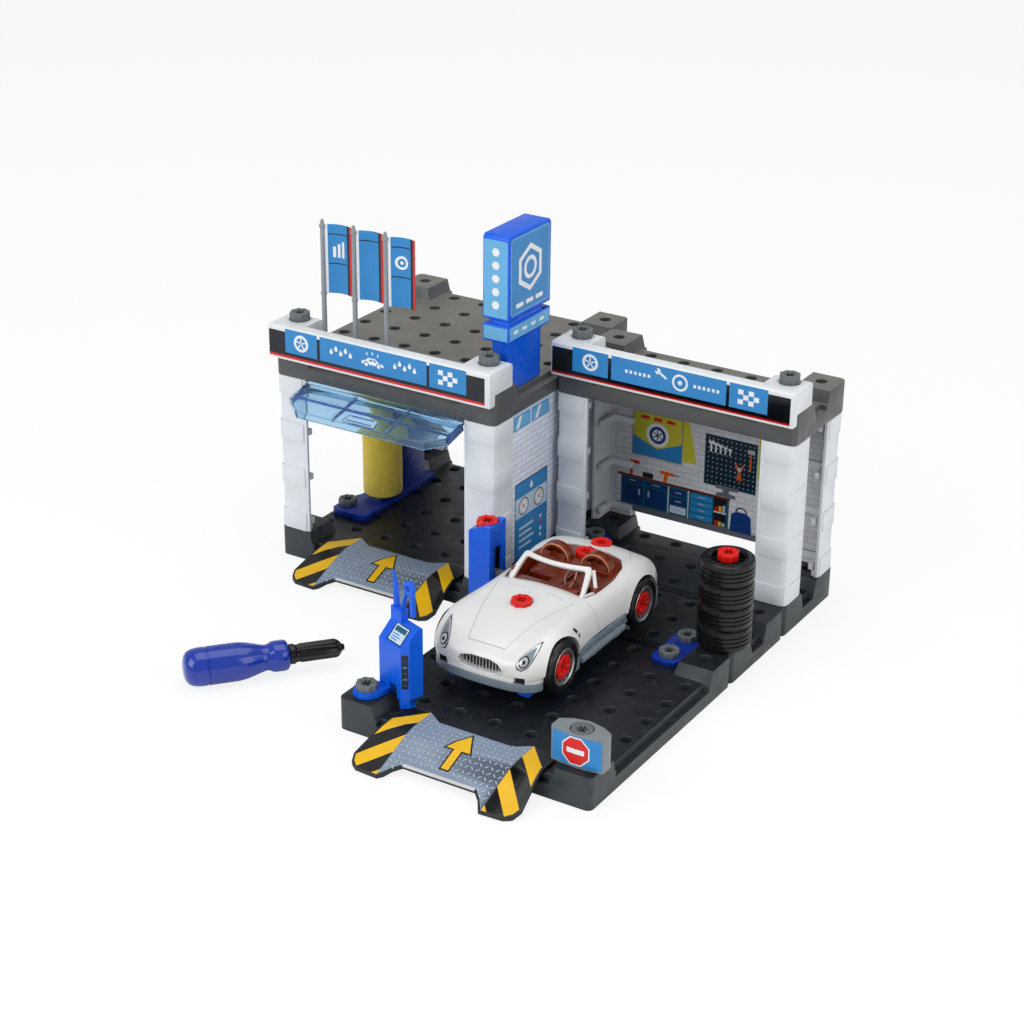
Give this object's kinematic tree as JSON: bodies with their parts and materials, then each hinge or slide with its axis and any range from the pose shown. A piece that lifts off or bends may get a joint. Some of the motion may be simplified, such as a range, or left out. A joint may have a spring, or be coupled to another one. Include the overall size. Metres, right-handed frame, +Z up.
{
  "type": "toy service station",
  "caption": "Toy service station on peg plates: car wash with two brushes and flap doors, service bay, screw lift with a car, ramps and a screwdriver.",
  "frame": {"origin": "centre of the whole set's plan extent, on the floor that the plates stand on", "axes": "+X to the right along the fronts, +Y to the back, +Z up"},
  "size_m": [0.3874, 0.4524, 0.2766],
  "materials": {
    "plate_front": "fine matt, dark grey",
    "plate_wash": "fine matt, dark grey",
    "plate_middle": "fine matt, dark grey",
    "plate_bay": "fine matt, dark grey",
    "roof_wash": "fine matt, warm dark grey",
    "roof_bay": "fine matt, warm dark grey",
    "pillar_wash_front_left": "satin white",
    "pillar_wash_front_right": "satin white",
    "pillar_wash_rear_left": "satin white",
    "pillar_wash_rear_right": "satin white",
    "pillar_bay_front_left": "satin white",
    "pillar_bay_front_right": "satin white",
    "pillar_bay_rear_left": "satin white",
    "pillar_bay_rear_right": "satin white",
    "fascia_wash": "satin white",
    "fascia_wash_screw_a": "satin grey",
    "fascia_wash_screw_b": "satin grey",
    "fascia_bay": "satin white",
    "fascia_bay_screw_a": "satin grey",
    "fascia_bay_screw_b": "satin grey",
    "wall_bay": "printed board",
    "wall_wash": "printed board",
    "brush_bracket_left": "satin blue",
    "brush_bracket_right": "satin blue",
    "pylon_sign": "satin blue",
    "flag_one": "satin grey",
    "flag_two": "satin grey",
    "flag_three": "satin grey",
    "joiner_floor": "satin blue",
    "joiner_base": "satin blue",
    "joiner_roof": "satin blue",
    "ramp_wash": "grey with printed top",
    "ramp_front": "grey with printed top",
    "stop_block": "satin grey",
    "lift_column": "satin blue",
    "tool_column": "satin blue",
    "spare_wheel_1": "soft black",
    "spare_wheel_2": "soft black",
    "spare_wheel_3": "soft black",
    "spare_wheel_4": "soft black",
    "spare_bolt": "satin red",
    "door_front": "translucent blue",
    "door_rear": "translucent blue",
    "brush_roller_left": "ochre foam",
    "brush_roller_right": "ochre foam",
    "lift_screw": "satin red",
    "lift_carriage": "satin grey",
    "car_body": "pearl white",
    "car_windscreen": "pearl white",
    "car_interior": "brown",
    "car_chassis": "satin grey",
    "car_hood_bolt": "satin red",
    "car_trunk_bolt": "satin red",
    "car_seat_bolt": "satin red",
    "screwdriver_handle": "satin blue",
    "screwdriver_shaft": "black",
    "car_wheel_front_left": "soft black",
    "car_wheel_front_right": "soft black",
    "car_wheel_rear_left": "soft black",
    "car_wheel_rear_right": "soft black"
  },
  "bodies": {
    "station": {"plate_front": "plate_front", "plate_wash": "plate_wash", "plate_middle": "plate_middle", "plate_bay": "plate_bay", "roof_wash": "roof_wash", "roof_bay": "roof_bay", "pillar_wash_front_left": "pillar_wash_front_left", "pillar_wash_front_right": "pillar_wash_front_right", "pillar_wash_rear_left": "pillar_wash_rear_left", "pillar_wash_rear_right": "pillar_wash_rear_right", "pillar_bay_front_left": "pillar_bay_front_left", "pillar_bay_front_right": "pillar_bay_front_right", "pillar_bay_rear_left": "pillar_bay_rear_left", "pillar_bay_rear_right": "pillar_bay_rear_right", "fascia_wash": "fascia_wash", "fascia_wash_screw_a": "fascia_wash_screw_a", "fascia_wash_screw_b": "fascia_wash_screw_b", "fascia_bay": "fascia_bay", "fascia_bay_screw_a": "fascia_bay_screw_a", "fascia_bay_screw_b": "fascia_bay_screw_b", "wall_bay": "wall_bay", "wall_wash": "wall_wash", "brush_bracket_left": "brush_bracket_left", "brush_bracket_right": "brush_bracket_right", "pylon_sign": "pylon_sign", "flag_one": "flag_one", "flag_two": "flag_two", "flag_three": "flag_three", "joiner_floor": "joiner_floor", "joiner_base": "joiner_base", "joiner_roof": "joiner_roof", "ramp_wash": "ramp_wash", "ramp_front": "ramp_front", "stop_block": "stop_block", "lift_column": "lift_column", "tool_column": "tool_column", "spare_wheel_1": "spare_wheel_1", "spare_wheel_2": "spare_wheel_2", "spare_wheel_3": "spare_wheel_3", "spare_wheel_4": "spare_wheel_4", "spare_bolt": "spare_bolt"},
    "door_front": {"door_front": "door_front"},
    "door_rear": {"door_rear": "door_rear"},
    "brush_left": {"brush_roller_left": "brush_roller_left"},
    "brush_right": {"brush_roller_right": "brush_roller_right"},
    "lift_screw": {"lift_screw": "lift_screw"},
    "lift_carriage": {"lift_carriage": "lift_carriage"},
    "car": {"car_body": "car_body", "car_windscreen": "car_windscreen", "car_interior": "car_interior", "car_chassis": "car_chassis", "car_hood_bolt": "car_hood_bolt", "car_trunk_bolt": "car_trunk_bolt", "car_seat_bolt": "car_seat_bolt"},
    "screwdriver": {"screwdriver_handle": "screwdriver_handle", "screwdriver_shaft": "screwdriver_shaft"},
    "wheel_front_left": {"car_wheel_front_left": "car_wheel_front_left"},
    "wheel_front_right": {"car_wheel_front_right": "car_wheel_front_right"},
    "wheel_rear_left": {"car_wheel_rear_left": "car_wheel_rear_left"},
    "wheel_rear_right": {"car_wheel_rear_right": "car_wheel_rear_right"}
  },
  "joints": [
    {"name": "door_front_hinge", "type": "hinge", "parent": "station", "child": "door_front", "pos_m": [-0.0983, 0.00734, 0.1447], "axis": [1, 0, 0], "range_deg": [0, 77]},
    {"name": "door_rear_hinge", "type": "hinge", "parent": "station", "child": "door_rear", "pos_m": [-0.0983, 0.19134, 0.1447], "axis": [-1, 0, 0], "range_deg": [0, 77]},
    {"name": "brush_left_spin", "type": "hinge", "parent": "station", "child": "brush_left", "pos_m": [-0.1661, 0.09894, 0.0772], "axis": [0, 0, 1], "continuous": true},
    {"name": "brush_right_spin", "type": "hinge", "parent": "station", "child": "brush_right", "pos_m": [-0.0305, 0.09894, 0.0772], "axis": [0, 0, 1], "continuous": true},
    {"name": "lift_screw_turn", "type": "hinge", "parent": "station", "child": "lift_screw", "pos_m": [0.0026, -0.01376, 0.0777], "axis": [0, 0, 1], "range_deg": [0, 1080]},
    {"name": "lift_travel", "type": "slide", "parent": "station", "child": "lift_carriage", "axis": [0, 0, 1], "range_m": [0, 0.018]},
    {"name": "car_lift", "type": "slide", "parent": "station", "child": "car", "axis": [0, 0, 1], "range_m": [0, 0.018]},
    {"name": "screwdriver_lift", "type": "slide", "parent": "station", "child": "screwdriver", "axis": [0, 0, 1], "range_m": [0, 0.1]},
    {"name": "wheel_front_left_spin", "type": "hinge", "parent": "car", "child": "wheel_front_left", "pos_m": [0.033, -0.10016, 0.0412], "axis": [1, 0, 0], "continuous": true},
    {"name": "wheel_front_right_spin", "type": "hinge", "parent": "car", "child": "wheel_front_right", "pos_m": [0.1108, -0.10016, 0.0412], "axis": [1, 0, 0], "continuous": true},
    {"name": "wheel_rear_left_spin", "type": "hinge", "parent": "car", "child": "wheel_rear_left", "pos_m": [0.033, 0.00764, 0.0412], "axis": [1, 0, 0], "continuous": true},
    {"name": "wheel_rear_right_spin", "type": "hinge", "parent": "car", "child": "wheel_rear_right", "pos_m": [0.1108, 0.00764, 0.0412], "axis": [1, 0, 0], "continuous": true}
  ],
  "couplings": [
    {"joint": "lift_travel", "follows": "car_lift", "ratio": 1},
    {"joint": "lift_screw_turn", "follows": "car_lift", "rad_per_m": 1047.2}
  ]
}
